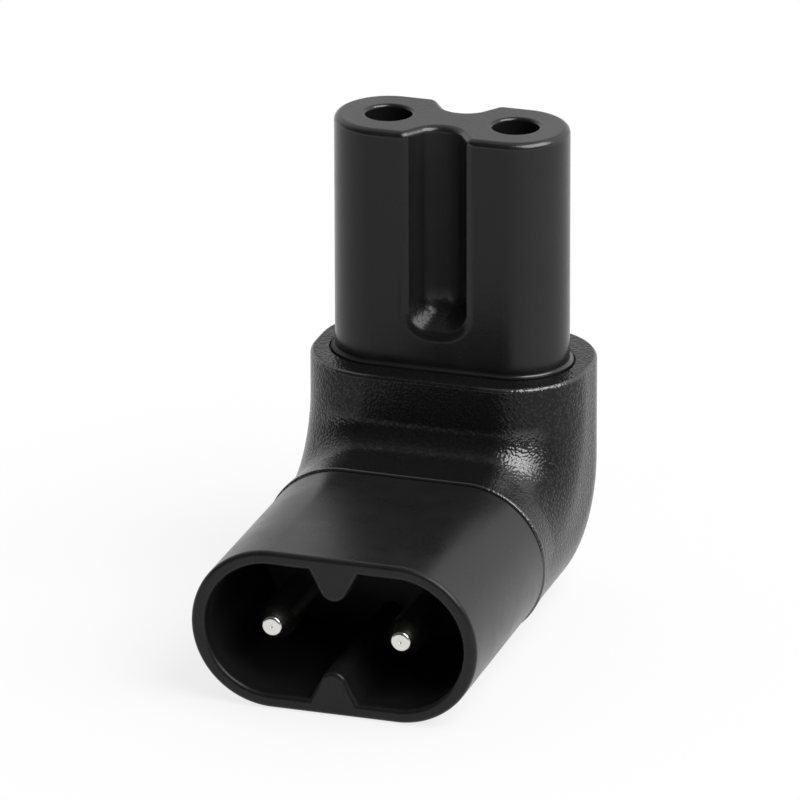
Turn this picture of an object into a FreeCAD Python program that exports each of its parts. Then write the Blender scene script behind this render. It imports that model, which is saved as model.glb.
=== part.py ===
import FreeCAD, Part
import math
import os

# Right-angle adapter for two-pole figure eight mains leads. A socket nose points up and
# a shrouded two-pin inlet faces the front. A soft elbow is moulded round the tails of
# both, over the two links that join each pin to its contact. Sizes are in millimetres,
# +Z is up, the inlet faces -Y, and the origin is under the middle of the whole part, on
# the surface that it stands on.

# The two poles
POLE_PITCH = 8.6
PIN_DIAMETER = 2.4
LINK_DIAMETER = 1.1

# Places of the two ends: the seam from the nose axis, the shoulder from the pin axis
SEAM_REACH = 10.28
SHOULDER_HEIGHT = 10.22
NOSE_LENGTH = 16.1

# Socket nose
NOSE_LOBE_RADIUS = 3.54
NOSE_EDGE_ROUND = 0.45
NOSE_TAIL_LENGTH = 5.4
NOSE_FLANGE_LIP = 0.7
NOSE_FLANGE_THICKNESS = 1.2
NOSE_FOOT_LIP = 0.25
NOSE_FOOT_HEIGHT = 0.06
NOSE_FOOT_ROUND = 0.2
HOLE_DIAMETER = 3.0
HOLE_DEPTH = 5.0
HOLE_EDGE_ROUND = 0.15
CHAMBER_DIAMETER = 4.2

# Key grooves down the front and the back of the nose
GROOVE_MOUTH_WIDTH = 4.3
GROOVE_FLOOR_WIDTH = 1.7
GROOVE_DEPTH = 1.95
GROOVE_LENGTH = 13.75
GROOVE_END_SLOPE = 1.4
GROOVE_MOUTH_CORNER = 1.9
GROOVE_FLOOR_CORNER = 0.8
GROOVE_FLOOR_ROUND = 1.4
GROOVE_MOUTH_ROUND = 0.8

# Inlet shroud
SHROUD_RADIUS = 5.36
SHROUD_DRAFT = 0.09
SHROUD_WALL = 0.95
SHROUD_RIM_ROUND = 0.32
SHROUD_MOUTH_ROUND = 0.22
SHROUD_HEEL_ROUND = 0.2
CAVITY_DEPTH = 12.4
FLOOR_THICKNESS = 2.42
SHROUD_TAIL_LENGTH = 3.3
SHROUD_TAIL_RADIUS = 3.8
SHROUD_FLANGE_LIP = 0.6
SHROUD_FLANGE_THICKNESS = 1.2

# Keys inside the shroud, above and below
KEY_BASE_WIDTH = 3.3
KEY_TIP_WIDTH = 1.4
KEY_GAP = 4.75
KEY_TIP_ROUND = 0.5

# Inlet pins
PIN_RECESS = 0.6
PIN_TIP_DIAMETER = 1.4
PIN_TIP_ROUND = 0.25
PIN_TAPER_LENGTH = 1.2
PIN_ROOT_DIAMETER = 2.8
PIN_COLLAR_DIAMETER = 3.8
PIN_COLLAR_THICKNESS = 1.5
PIN_CUP_LENGTH = 2.6
PIN_CUP_DEPTH = 2.2

# Socket contacts, measured from the mouth that faces the hole
CONTACT_WALL = 0.32
CONTACT_MOUTH_BORE = 3.2
CONTACT_WAIST_BORE = 2.24
CONTACT_BORE = 2.6
CONTACT_WAIST_DEPTH = 2.5
CONTACT_BORE_START = 5.0
CONTACT_BORE_DEPTH = 8.5
CONTACT_LENGTH = 10.4
CONTACT_NECK_DIAMETER = 2.0
CONTACT_NECK_SLOPE = 0.6
CONTACT_COLLAR_THICKNESS = 1.2
CONTACT_BARREL_LENGTH = 2.4
CONTACT_BARREL_DEPTH = 2.0
CONTACT_SLIT_WIDTH = 0.5
CONTACT_SLIT_LENGTH = 8.0

# Elbow
ELBOW_WIDTH = 18.6
COLLAR_FRONT = 5.65
COLLAR_BACK = 6.25
SIDE_ROUND = 5.2
BEND_ROUND = 8.5
INNER_ROUND = 2.0
SEAM_SIDE_ROUND = 5.1
SHOULDER_ROUND = 0.35
SEAM_GROOVE_GAP = 0.1
SEAM_GROOVE_DEPTH = 0.35
SEAM_GROOVE_ROUND = 0.1
SEAM_EDGE_ROUND = 0.18

# How the elbow's end stands out from its own arm and from the shroud's heel
SEAM_FLARE = 0.2
SEAM_TOP_FLARE = 0.07
SEAM_LIP = 0.06
SEAM_TOP_LIP = 0.15
BASE_LIP = 0.04

# Fits
INSERT_CLEARANCE = 0.02
SEAT_CLEARANCE = 0.02
LINK_CLEARANCE = 0.02
LINK_STRAIGHT = 0.4
ROUND_MARGIN = 0.05

# Places that follow from the sizes above
half_pitch = POLE_PITCH / 2
rim_reach = SEAM_REACH + FLOOR_THICKNESS + CAVITY_DEPTH
nose_y = (rim_reach - COLLAR_BACK) / 2
pin_z = SHROUD_RADIUS + BASE_LIP
rim_y = nose_y - rim_reach
seam_y = nose_y - SEAM_REACH
floor_y = rim_y + CAVITY_DEPTH
shroud_tail_y = seam_y + SHROUD_TAIL_LENGTH
shoulder_z = pin_z + SHOULDER_HEIGHT
nose_top_z = shoulder_z + NOSE_LENGTH
nose_tail_z = shoulder_z - NOSE_TAIL_LENGTH
nose_foot_z = shoulder_z + NOSE_FOOT_HEIGHT
nose_foot_radius = NOSE_LOBE_RADIUS + NOSE_FOOT_LIP
chamber_top_z = nose_top_z - HOLE_DEPTH
collar_y = nose_y - COLLAR_FRONT
back_y = nose_y + COLLAR_BACK
pin_tail_y = shroud_tail_y + PIN_CUP_LENGTH
barrel_z = nose_tail_z - CONTACT_BARREL_LENGTH
link_bend = min(barrel_z - pin_z, nose_y - pin_tail_y) - LINK_STRAIGHT
shroud_heel_radius = SHROUD_RADIUS - SHROUD_DRAFT
seam_width = ELBOW_WIDTH + 2 * SEAM_FLARE
shroud_lobe_pitch = seam_width - 2 * (SEAM_LIP + shroud_heel_radius)
seam_top_z = pin_z + shroud_heel_radius + SEAM_TOP_LIP
elbow_top_z = seam_top_z - SEAM_TOP_FLARE
side_round = min(SIDE_ROUND, elbow_top_z / 2 - ROUND_MARGIN, BEND_ROUND - ROUND_MARGIN)
seam_side_round = min(SEAM_SIDE_ROUND, seam_top_z / 2 - ROUND_MARGIN)
joint_y = collar_y - INNER_ROUND

X_AXIS = FreeCAD.Vector(1, 0, 0)
Y_AXIS = FreeCAD.Vector(0, 1, 0)
Z_AXIS = FreeCAD.Vector(0, 0, 1)
OVERSHOOT = 1.0
SIDES = {"left": -1, "right": 1}


def point(x, y, z):
    """A point in the part's frame."""
    return FreeCAD.Vector(x, y, z)


def line(start, end):
    """A straight edge."""
    return Part.LineSegment(start, end).toShape()


def arc(start, middle, end):
    """A round edge through three points."""
    return Part.Arc(start, middle, end).toShape()


def cylinder(radius, start, axis, length):
    """A cylinder that starts at a point and runs along an axis."""
    return Part.makeCylinder(radius, length, start, axis)


def stadium_face(radius, pitch, place):
    """A figure with two round ends; place maps its two measures to a point."""
    offset = pitch / 2
    edges = [
        line(place(-offset, -radius), place(offset, -radius)),
        arc(place(offset, -radius), place(offset + radius, 0), place(offset, radius)),
        line(place(offset, radius), place(-offset, radius)),
        arc(place(-offset, radius), place(-offset - radius, 0), place(-offset, -radius)),
    ]
    return Part.Face(Part.Wire(edges))


def upright_stadium(radius, low_z, high_z):
    """A column on the nose axis with one round end about each pole."""
    face = stadium_face(radius, POLE_PITCH, lambda u, v: point(u, nose_y + v, low_z))
    return face.extrude(Z_AXIS * (high_z - low_z))


def level_outline(radius, y):
    """The face of a bar on the pin axis with the shroud's two round ends."""
    return stadium_face(radius, shroud_lobe_pitch, lambda u, v: point(u, y, pin_z + v))


def level_stadium(radius, front_y, rear_y):
    """A bar on the pin axis with the shroud's two round ends."""
    return level_outline(radius, front_y).extrude(Y_AXIS * (rear_y - front_y))


def in_plane(edge, axis, value):
    """Tell whether an edge lies in the plane where a coordinate has a value."""
    box = edge.BoundBox
    low = {"x": box.XMin, "y": box.YMin, "z": box.ZMin}[axis]
    high = {"x": box.XMax, "y": box.YMax, "z": box.ZMax}[axis]
    return abs(low - value) < 1e-4 and abs(high - value) < 1e-4


def round_nose(edge, radius):
    """Tell whether an edge lies no further out than a column round the nose axis."""
    box = edge.BoundBox
    reach = radius + ROUND_MARGIN
    across = max(-box.XMin, box.XMax) - half_pitch
    return across < reach and max(nose_y - box.YMin, box.YMax - nose_y) < reach


def groove_outline(depth, y):
    """The outline of a key groove at a depth below the face of the nose."""
    share = depth / GROOVE_DEPTH
    half = (GROOVE_MOUTH_WIDTH + (GROOVE_FLOOR_WIDTH - GROOVE_MOUTH_WIDTH) * share) / 2
    corner = GROOVE_MOUTH_CORNER + (GROOVE_FLOOR_CORNER - GROOVE_MOUTH_CORNER) * share
    corner = min(corner, half - ROUND_MARGIN)
    low = nose_top_z - GROOVE_LENGTH + GROOVE_END_SLOPE * share
    high = nose_top_z + OVERSHOOT
    near = corner * (1 - math.sqrt(0.5))
    edges = [
        line(point(-half, y, high), point(-half, y, low + corner)),
        arc(
            point(-half, y, low + corner),
            point(-half + near, y, low + near),
            point(-half + corner, y, low),
        ),
        line(point(-half + corner, y, low), point(half - corner, y, low)),
        arc(
            point(half - corner, y, low),
            point(half - near, y, low + near),
            point(half, y, low + corner),
        ),
        line(point(half, y, low + corner), point(half, y, high)),
        line(point(half, y, high), point(-half, y, high)),
    ]
    return Part.Wire(edges)


def key_groove():
    """The cutter for the front groove, with a rounded floor."""
    face_y = nose_y - NOSE_LOBE_RADIUS
    floor_line_y = face_y + GROOVE_DEPTH
    outer = groove_outline(-OVERSHOOT / 2, face_y - OVERSHOOT / 2)
    inner = groove_outline(GROOVE_DEPTH, floor_line_y)
    cutter = Part.makeLoft([outer, inner], True, True)
    floor_edges = [
        edge
        for edge in cutter.Edges
        if in_plane(edge, "y", floor_line_y) and not in_plane(edge, "z", nose_top_z + OVERSHOOT)
    ]
    turn = math.atan2(GROOVE_DEPTH, (GROOVE_MOUTH_WIDTH - GROOVE_FLOOR_WIDTH) / 2)
    room = min(GROOVE_FLOOR_WIDTH / 2, GROOVE_FLOOR_CORNER) - ROUND_MARGIN
    return cutter.makeFillet(min(GROOVE_FLOOR_ROUND, room / math.tan(turn / 2)), floor_edges)


def nose_tail():
    """The part of the nose that the elbow holds, with its anchor flange and its foot."""
    column = upright_stadium(NOSE_LOBE_RADIUS, nose_tail_z, shoulder_z)
    flange = upright_stadium(
        NOSE_LOBE_RADIUS + NOSE_FLANGE_LIP, nose_tail_z, nose_tail_z + NOSE_FLANGE_THICKNESS
    )
    foot = upright_stadium(nose_foot_radius, shoulder_z - SEAM_GROOVE_DEPTH, nose_foot_z)
    return column.fuse(flange).fuse(foot)


def socket_nose():
    """The socket end: two lobes, key grooves, holes and an anchored tail."""
    body = upright_stadium(NOSE_LOBE_RADIUS, shoulder_z, nose_top_z)
    groove = key_groove()
    body = body.cut(groove)
    body = body.cut(groove.mirror(point(0, nose_y, 0), Y_AXIS))
    faces = (nose_y - NOSE_LOBE_RADIUS, nose_y + NOSE_LOBE_RADIUS)
    mouth_edges = [
        edge
        for edge in body.Edges
        for face_y in faces
        if in_plane(edge, "y", face_y)
        and max(abs(edge.BoundBox.XMin), abs(edge.BoundBox.XMax)) < half_pitch - GROOVE_MOUTH_ROUND
    ]
    body = body.makeFillet(GROOVE_MOUTH_ROUND, mouth_edges)
    top_edges = [edge for edge in body.Edges if in_plane(edge, "z", nose_top_z)]
    body = body.makeFillet(NOSE_EDGE_ROUND, top_edges)
    body = body.fuse(nose_tail()).removeSplitter()
    foot_edges = [
        edge
        for edge in body.Edges
        if in_plane(edge, "z", nose_foot_z) and round_nose(edge, NOSE_LOBE_RADIUS)
    ]
    body = body.makeFillet(min(NOSE_FOOT_ROUND, NOSE_FOOT_LIP - ROUND_MARGIN), foot_edges)
    for side in SIDES.values():
        foot = point(side * half_pitch, nose_y, nose_tail_z)
        body = body.cut(cylinder(HOLE_DIAMETER / 2, foot, Z_AXIS, nose_top_z - nose_tail_z))
        body = body.cut(cylinder(CHAMBER_DIAMETER / 2, foot, Z_AXIS, chamber_top_z - nose_tail_z))
    hole_edges = [
        edge
        for edge in body.Edges
        if in_plane(edge, "z", nose_top_z) and abs(edge.BoundBox.XLength - HOLE_DIAMETER) < 1e-3
    ]
    return body.makeFillet(HOLE_EDGE_ROUND, hole_edges)


def shroud_key():
    """The upper key: a tapered ridge along the cavity, flush with the rim."""
    inner_radius = SHROUD_RADIUS - SHROUD_WALL
    base_z = pin_z + inner_radius + SHROUD_WALL / 2
    tip_z = pin_z + KEY_GAP / 2
    slope = (KEY_BASE_WIDTH - KEY_TIP_WIDTH) / 2 / (inner_radius - KEY_GAP / 2)
    base_half = KEY_BASE_WIDTH / 2 + slope * SHROUD_WALL / 2
    tip_half = KEY_TIP_WIDTH / 2
    corners = [
        point(-base_half, rim_y, base_z),
        point(-tip_half, rim_y, tip_z),
        point(tip_half, rim_y, tip_z),
        point(base_half, rim_y, base_z),
    ]
    outline = Part.makePolygon(corners + corners[:1])
    ridge = Part.Face(outline).extrude(Y_AXIS * (CAVITY_DEPTH + FLOOR_THICKNESS / 2))
    tip_edges = [
        edge
        for edge in ridge.Edges
        if in_plane(edge, "z", tip_z) and edge.BoundBox.YLength > CAVITY_DEPTH
    ]
    return ridge.makeFillet(min(KEY_TIP_ROUND, tip_half - ROUND_MARGIN), tip_edges)


def shroud_tail():
    """The part of the shroud that the elbow holds, with its anchor flange."""
    bar = level_stadium(SHROUD_TAIL_RADIUS, seam_y, shroud_tail_y)
    flange = level_stadium(
        SHROUD_TAIL_RADIUS + SHROUD_FLANGE_LIP, shroud_tail_y - SHROUD_FLANGE_THICKNESS, shroud_tail_y
    )
    return bar.fuse(flange)


def inlet_shroud():
    """The inlet end: wall, keys, floor with stepped pin holes, anchored tail."""
    inner_radius = SHROUD_RADIUS - SHROUD_WALL
    rim_outline = level_outline(SHROUD_RADIUS, rim_y)
    heel_outline = level_outline(shroud_heel_radius, seam_y)
    body = Part.makeLoft([rim_outline.OuterWire, heel_outline.OuterWire], True, True)
    rim_edges = [edge for edge in body.Edges if in_plane(edge, "y", rim_y)]
    body = body.makeFillet(SHROUD_RIM_ROUND, rim_edges)
    body = body.cut(level_stadium(inner_radius, rim_y, floor_y))
    key = shroud_key()
    body = body.fuse(key)
    body = body.fuse(key.mirror(point(0, 0, pin_z), Z_AXIS))
    body = body.removeSplitter()
    mouth_edges = [
        edge
        for edge in body.Edges
        if in_plane(edge, "y", rim_y)
        and max(edge.BoundBox.ZMax - pin_z, pin_z - edge.BoundBox.ZMin) < inner_radius + ROUND_MARGIN
    ]
    body = body.makeFillet(SHROUD_MOUTH_ROUND, mouth_edges)
    heel_edges = [edge for edge in body.Edges if in_plane(edge, "y", seam_y)]
    body = body.makeFillet(SHROUD_HEEL_ROUND, heel_edges)
    body = body.fuse(shroud_tail())
    for side in SIDES.values():
        mouth = point(side * half_pitch, floor_y, pin_z)
        length = shroud_tail_y - floor_y
        body = body.cut(cylinder(PIN_ROOT_DIAMETER / 2 + INSERT_CLEARANCE, mouth, Y_AXIS, length))
        seat = point(side * half_pitch, shroud_tail_y, pin_z)
        seat_radius = PIN_COLLAR_DIAMETER / 2 + INSERT_CLEARANCE
        body = body.cut(cylinder(seat_radius, seat, -Y_AXIS, PIN_COLLAR_THICKNESS))
    return body.removeSplitter()


def pin_cup(side):
    """The outside of a pin's cup, behind the shroud's tail."""
    seat = point(side * half_pitch, shroud_tail_y, pin_z)
    return cylinder(PIN_DIAMETER / 2, seat, Y_AXIS, PIN_CUP_LENGTH)


def inlet_pin(side):
    """A turned pin: tapered end, root, seating collar and a cup for the link."""
    tip_y = rim_y + PIN_RECESS
    shank_y = tip_y + PIN_TAPER_LENGTH
    tip = point(side * half_pitch, tip_y, pin_z)
    taper = Part.makeCone(PIN_TIP_DIAMETER / 2, PIN_DIAMETER / 2, PIN_TAPER_LENGTH, tip, Y_AXIS)
    taper = taper.makeFillet(PIN_TIP_ROUND, [e for e in taper.Edges if in_plane(e, "y", tip_y)])
    shank = point(side * half_pitch, shank_y, pin_z)
    body = taper.fuse(cylinder(PIN_DIAMETER / 2, shank, Y_AXIS, floor_y - shank_y))
    root = point(side * half_pitch, floor_y, pin_z)
    body = body.fuse(cylinder(PIN_ROOT_DIAMETER / 2, root, Y_AXIS, shroud_tail_y - floor_y))
    body = body.fuse(pin_cup(side))
    seat = point(side * half_pitch, shroud_tail_y, pin_z)
    collar_length = PIN_COLLAR_THICKNESS - SEAT_CLEARANCE
    body = body.fuse(cylinder(PIN_COLLAR_DIAMETER / 2, seat, -Y_AXIS, collar_length))
    cup = point(side * half_pitch, pin_tail_y, pin_z)
    return body.cut(cylinder(LINK_DIAMETER / 2 + LINK_CLEARANCE, cup, -Y_AXIS, PIN_CUP_DEPTH))


def contact_profile():
    """Half of the contact's section, as radius and height, mouth first."""
    mouth_z = chamber_top_z - SEAT_CLEARANCE
    waist_z = mouth_z - CONTACT_WAIST_DEPTH
    bore_z = mouth_z - CONTACT_BORE_START
    end_z = mouth_z - CONTACT_LENGTH
    neck_z = end_z - CONTACT_NECK_SLOPE
    collar_z = nose_tail_z + CONTACT_COLLAR_THICKNESS
    collar_radius = CHAMBER_DIAMETER / 2 - INSERT_CLEARANCE
    neck_radius = CONTACT_NECK_DIAMETER / 2
    barrel_bore = LINK_DIAMETER / 2 + LINK_CLEARANCE
    barrel_floor_z = barrel_z + CONTACT_BARREL_DEPTH
    socket_floor_z = mouth_z - CONTACT_BORE_DEPTH
    return [
        (0, socket_floor_z),
        (CONTACT_BORE / 2, socket_floor_z),
        (CONTACT_BORE / 2, bore_z),
        (CONTACT_WAIST_BORE / 2, waist_z),
        (CONTACT_MOUTH_BORE / 2, mouth_z),
        (CONTACT_MOUTH_BORE / 2 + CONTACT_WALL, mouth_z),
        (CONTACT_WAIST_BORE / 2 + CONTACT_WALL, waist_z),
        (CONTACT_BORE / 2 + CONTACT_WALL, bore_z),
        (CONTACT_BORE / 2 + CONTACT_WALL, end_z),
        (neck_radius, neck_z),
        (neck_radius, collar_z),
        (collar_radius, collar_z),
        (collar_radius, nose_tail_z),
        (neck_radius, nose_tail_z),
        (neck_radius, barrel_z),
        (barrel_bore, barrel_z),
        (barrel_bore, barrel_floor_z),
        (0, barrel_floor_z),
    ]


def socket_contact(side):
    """A turned spring contact with four fingers, a collar and a barrel."""
    x = side * half_pitch
    corners = [point(x + radius, nose_y, z) for radius, z in contact_profile()]
    section = Part.Face(Part.makePolygon(corners + corners[:1]))
    body = section.revolve(point(x, nose_y, 0), Z_AXIS, 360)
    slit_low = chamber_top_z - SEAT_CLEARANCE - CONTACT_SLIT_LENGTH
    span = CHAMBER_DIAMETER
    height = CONTACT_SLIT_LENGTH + OVERSHOOT
    half_slit = CONTACT_SLIT_WIDTH / 2
    across = Part.makeBox(
        span, CONTACT_SLIT_WIDTH, height, point(x - span / 2, nose_y - half_slit, slit_low)
    )
    along = Part.makeBox(
        CONTACT_SLIT_WIDTH, span, height, point(x - half_slit, nose_y - span / 2, slit_low)
    )
    return body.cut(across).cut(along)


def contact_barrel(side):
    """The outside of a contact's barrel, below the nose's tail."""
    end = point(side * half_pitch, nose_y, barrel_z)
    return cylinder(CONTACT_NECK_DIAMETER / 2, end, Z_AXIS, CONTACT_BARREL_LENGTH)


def link_wire(side):
    """A short round conductor, bent from the contact's barrel to the pin's cup."""
    x = side * half_pitch
    top = point(x, nose_y, barrel_z + CONTACT_BARREL_DEPTH - SEAT_CLEARANCE)
    bend_top = point(x, nose_y, pin_z + link_bend)
    near = link_bend * (1 - math.sqrt(0.5))
    bend_middle = point(x, nose_y - near, pin_z + near)
    bend_end = point(x, nose_y - link_bend, pin_z)
    end = point(x, pin_tail_y - PIN_CUP_DEPTH + SEAT_CLEARANCE, pin_z)
    path = Part.Wire([line(top, bend_top), arc(bend_top, bend_middle, bend_end), line(bend_end, end)])
    section = Part.Wire([Part.makeCircle(LINK_DIAMETER / 2, top, -Z_AXIS)])
    return path.makePipeShell([section], True, False)


def bend_profile():
    """The elbow's side view round the bend, from the joint to the shoulder."""
    x = -ELBOW_WIDTH / 2
    inner_near = INNER_ROUND * (1 - math.sqrt(0.5))
    outer_near = BEND_ROUND * (1 - math.sqrt(0.5))
    edges = [
        line(point(x, joint_y, 0), point(x, back_y - BEND_ROUND, 0)),
        arc(
            point(x, back_y - BEND_ROUND, 0),
            point(x, back_y - outer_near, outer_near),
            point(x, back_y, BEND_ROUND),
        ),
        line(point(x, back_y, BEND_ROUND), point(x, back_y, shoulder_z)),
        line(point(x, back_y, shoulder_z), point(x, collar_y, shoulder_z)),
        line(point(x, collar_y, shoulder_z), point(x, collar_y, elbow_top_z + INNER_ROUND)),
        arc(
            point(x, collar_y, elbow_top_z + INNER_ROUND),
            point(x, collar_y - inner_near, elbow_top_z + inner_near),
            point(x, joint_y, elbow_top_z),
        ),
        line(point(x, joint_y, elbow_top_z), point(x, joint_y, 0)),
    ]
    return Part.Wire(edges)


def elbow_section(width, top_z, corner, y):
    """A rounded section across the elbow's level arm."""
    half = width / 2
    near = corner * (1 - math.sqrt(0.5))
    edges = [
        line(point(-half + corner, y, 0), point(half - corner, y, 0)),
        arc(point(half - corner, y, 0), point(half - near, y, near), point(half, y, corner)),
        line(point(half, y, corner), point(half, y, top_z - corner)),
        arc(
            point(half, y, top_z - corner),
            point(half - near, y, top_z - near),
            point(half - corner, y, top_z),
        ),
        line(point(half - corner, y, top_z), point(-half + corner, y, top_z)),
        arc(
            point(-half + corner, y, top_z),
            point(-half + near, y, top_z - near),
            point(-half, y, top_z - corner),
        ),
        line(point(-half, y, top_z - corner), point(-half, y, corner)),
        arc(point(-half, y, corner), point(-half + near, y, near), point(-half + corner, y, 0)),
    ]
    return Part.Wire(edges)


def elbow_form():
    """The elbow's outer form: a rounded bend and an arm that widens to the seam."""
    bend = Part.Face(bend_profile()).extrude(X_AXIS * ELBOW_WIDTH)
    long_edges = [
        edge
        for edge in bend.Edges
        for side in SIDES.values()
        if in_plane(edge, "x", side * ELBOW_WIDTH / 2)
        and not in_plane(edge, "z", shoulder_z)
        and not in_plane(edge, "y", joint_y)
    ]
    bend = bend.makeFillet(side_round, long_edges)
    seam_section = elbow_section(seam_width, seam_top_z, seam_side_round, seam_y)
    joint_section = elbow_section(ELBOW_WIDTH, elbow_top_z, side_round, joint_y)
    arm = Part.makeLoft([seam_section, joint_section], True, True)
    form = bend.fuse(arm).removeSplitter()
    shoulder_edges = [edge for edge in form.Edges if in_plane(edge, "z", shoulder_z)]
    form = form.makeFillet(SHOULDER_ROUND, shoulder_edges)
    seam_edges = [edge for edge in form.Edges if in_plane(edge, "y", seam_y)]
    return form.makeFillet(SEAM_EDGE_ROUND, seam_edges)


def elbow_overmould():
    """The soft elbow, moulded round the tails, cups, barrels and links."""
    groove_low = shoulder_z - SEAM_GROOVE_DEPTH
    mouth_radius = nose_foot_radius + SEAM_GROOVE_GAP
    seam_groove = upright_stadium(mouth_radius, groove_low, shoulder_z)
    held = [nose_tail(), shroud_tail(), seam_groove]
    for side in SIDES.values():
        held += [pin_cup(side), contact_barrel(side), link_wire(side)]
    body = elbow_form()
    for piece in held:
        body = body.cut(piece)
    body = body.removeSplitter()
    mouth_edges = [
        edge
        for edge in body.Edges
        if in_plane(edge, "z", shoulder_z) and round_nose(edge, mouth_radius)
    ]
    return body.makeFillet(SEAM_GROOVE_ROUND, mouth_edges)


def save(name, shape):
    """Write one piece and say what it holds."""
    solids = shape.Solids
    piece = solids[0] if len(solids) == 1 else Part.Compound(solids)
    print(name, "solids", len(solids), "valid", piece.isValid(), "volume", round(piece.Volume, 2))
    piece.exportStep("parts/" + name + ".step")


def main():
    """Build every piece and write it."""
    os.makedirs("parts", exist_ok=True)
    pieces = {"socket_nose": socket_nose(), "inlet_shroud": inlet_shroud()}
    for name, side in SIDES.items():
        pieces["inlet_pin_" + name] = inlet_pin(side)
        pieces["socket_contact_" + name] = socket_contact(side)
        pieces["link_wire_" + name] = link_wire(side)
    pieces["elbow_overmould"] = elbow_overmould()
    for name, shape in pieces.items():
        save(name, shape)


main()
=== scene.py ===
"""Studio portrait of a right-angle adapter for figure eight mains leads.

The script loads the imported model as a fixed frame, models the moulded pieces and the
pins again with clean rounded edges, gives every piece its finish, and sets the studio
and the camera. Pieces are modelled in millimetres, in the frame's own axes, and are
brought to metres when they are finished. Finishes are written in metres.
"""

from __future__ import annotations

import logging
import math
from collections.abc import Callable, Iterator
from contextlib import contextmanager
from dataclasses import astuple, dataclass
from enum import Enum, IntEnum
from typing import Any

import bmesh
import bpy
from mathutils import Matrix, Vector

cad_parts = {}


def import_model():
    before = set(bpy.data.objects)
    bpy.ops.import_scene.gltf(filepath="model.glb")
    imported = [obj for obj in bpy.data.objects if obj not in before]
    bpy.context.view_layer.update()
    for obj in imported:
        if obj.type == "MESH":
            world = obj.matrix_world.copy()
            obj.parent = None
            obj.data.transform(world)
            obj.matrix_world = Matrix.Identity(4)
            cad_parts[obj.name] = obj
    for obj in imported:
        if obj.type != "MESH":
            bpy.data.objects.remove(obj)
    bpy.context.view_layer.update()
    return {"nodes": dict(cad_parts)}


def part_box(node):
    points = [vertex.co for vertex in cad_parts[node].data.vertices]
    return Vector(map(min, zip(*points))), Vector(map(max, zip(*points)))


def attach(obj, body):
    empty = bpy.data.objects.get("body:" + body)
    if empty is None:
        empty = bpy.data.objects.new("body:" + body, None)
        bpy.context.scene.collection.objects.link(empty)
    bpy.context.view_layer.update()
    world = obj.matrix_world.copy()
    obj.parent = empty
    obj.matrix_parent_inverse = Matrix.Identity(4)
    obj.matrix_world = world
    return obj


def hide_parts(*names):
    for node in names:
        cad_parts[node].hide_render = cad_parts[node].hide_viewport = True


LOG = logging.getLogger("connector")
Vec3 = tuple[float, float, float]
Span = tuple[float, float]
Test = Callable[[Any], bool]

MILLIMETRE = 0.001
# Tolerances of the tests of place, in millimetres
NEAR = 1e-3
LOOSE = 10 * NEAR
# What counts as flat, what stays sharp, and the pull of large faces on the normals
FLAT_DEGREES = 0.5
SHARP_DEGREES = 32.0
FLAT_WEIGHT = 80
# A bevel's profile that is an arc, and the middle of a noise
ROUND_PROFILE = 0.5
NOISE_MEAN = 0.5
WHITE = (1.0, 1.0, 1.0, 1.0)
BODY = "root"


class Element(Enum):
    """What is picked: the operator's mode is its name, the mesh's list its value."""

    VERT = "verts"
    EDGE = "edges"
    FACE = "faces"


class Axis(Enum):
    """An axis of the frame, as an index into a point."""

    X = 0
    Y = 1
    Z = 2


class Slot(Enum):
    """Three material slot names; no piece in this script takes them."""

    ELBOW = "elbow_vinyl"
    INSERT = "insert_plastic"
    PIN = "pin_plating"


class Side(Enum):
    """The two poles, with the sign of their X."""

    LEFT = -1
    RIGHT = 1

    @property
    def word(self) -> str:
        """The pole's word in the names of the nodes."""
        return self.name.lower()


class Sides(IntEnum):
    """The number of corners in a bar's outline."""

    CHANNEL = 32
    PIN = 48
    HOLE = 64
    NOSE = 96
    SHROUD = 128


class Strips(IntEnum):
    """The number of strips across a rounding."""

    SMALL = 3
    MOUTH = 4
    EDGE = 5
    KEY = 6
    FLOOR = 8
    CORNER = 12
    SIDE = 20
    BEND = 24


class Detail(Enum):
    """How far a noise breaks up into finer blotches."""

    PLAIN = 1.0
    SOFT = 2.0
    RICH = 3.0
    RICHEST = 4.0


# Sizes that several pieces share


@dataclass(frozen=True)
class Layout:
    """Places and sizes, in millimetres, that the pieces and the finishes share."""

    pole_pitch: float = 8.6
    nose_y: float = 9.425
    pin_z: float = 5.4
    rim_y: float = -15.675
    floor_y: float = -3.275
    seam_y: float = -0.855
    shroud_tail_y: float = 2.445
    joint_y: float = 1.775
    crook_z: float = 12.75
    collar_y: float = 3.775
    back_y: float = 15.675
    shoulder_z: float = 15.62
    nose_top_z: float = 31.72
    groove_end_z: float = 17.97
    nose_tail_z: float = 10.22
    nose_radius: float = 3.54
    nose_flange_radius: float = 4.24
    nose_flange_height: float = 1.2
    nose_foot_radius: float = 3.79
    nose_foot_depth: float = 0.35
    shroud_pitch: float = 8.34
    cavity_radius: float = 4.41
    shroud_tail_radius: float = 3.8
    shroud_flange_radius: float = 4.4
    shroud_flange_length: float = 1.2

    def pole(self, side: Side) -> float:
        """The X of a pole."""
        return side.value * self.pole_pitch / 2

    def in_metres(self) -> Layout:
        """The same places in metres, for the finishes."""
        return Layout(*(place * MILLIMETRE for place in astuple(self)))


# Modelling by hand


def corners(item: Any) -> list[Any]:
    """The vertices of a vertex, an edge or a face."""
    return [item] if isinstance(item, bmesh.types.BMVert) else list(item.verts)


def on_plane(axis: Axis, place: float) -> Test:
    """A test for a vertex, an edge or a face that lies in a plane across an axis."""
    return lambda item: all(abs(c.co[axis.value] - place) < NEAR for c in corners(item))


def past_plane(axis: Axis, place: float, sign: int = 1) -> Test:
    """A test for what lies wholly above a place on an axis, or below it at sign -1."""
    return lambda item: all(sign * (c.co[axis.value] - place) > NEAR for c in corners(item))


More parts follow.
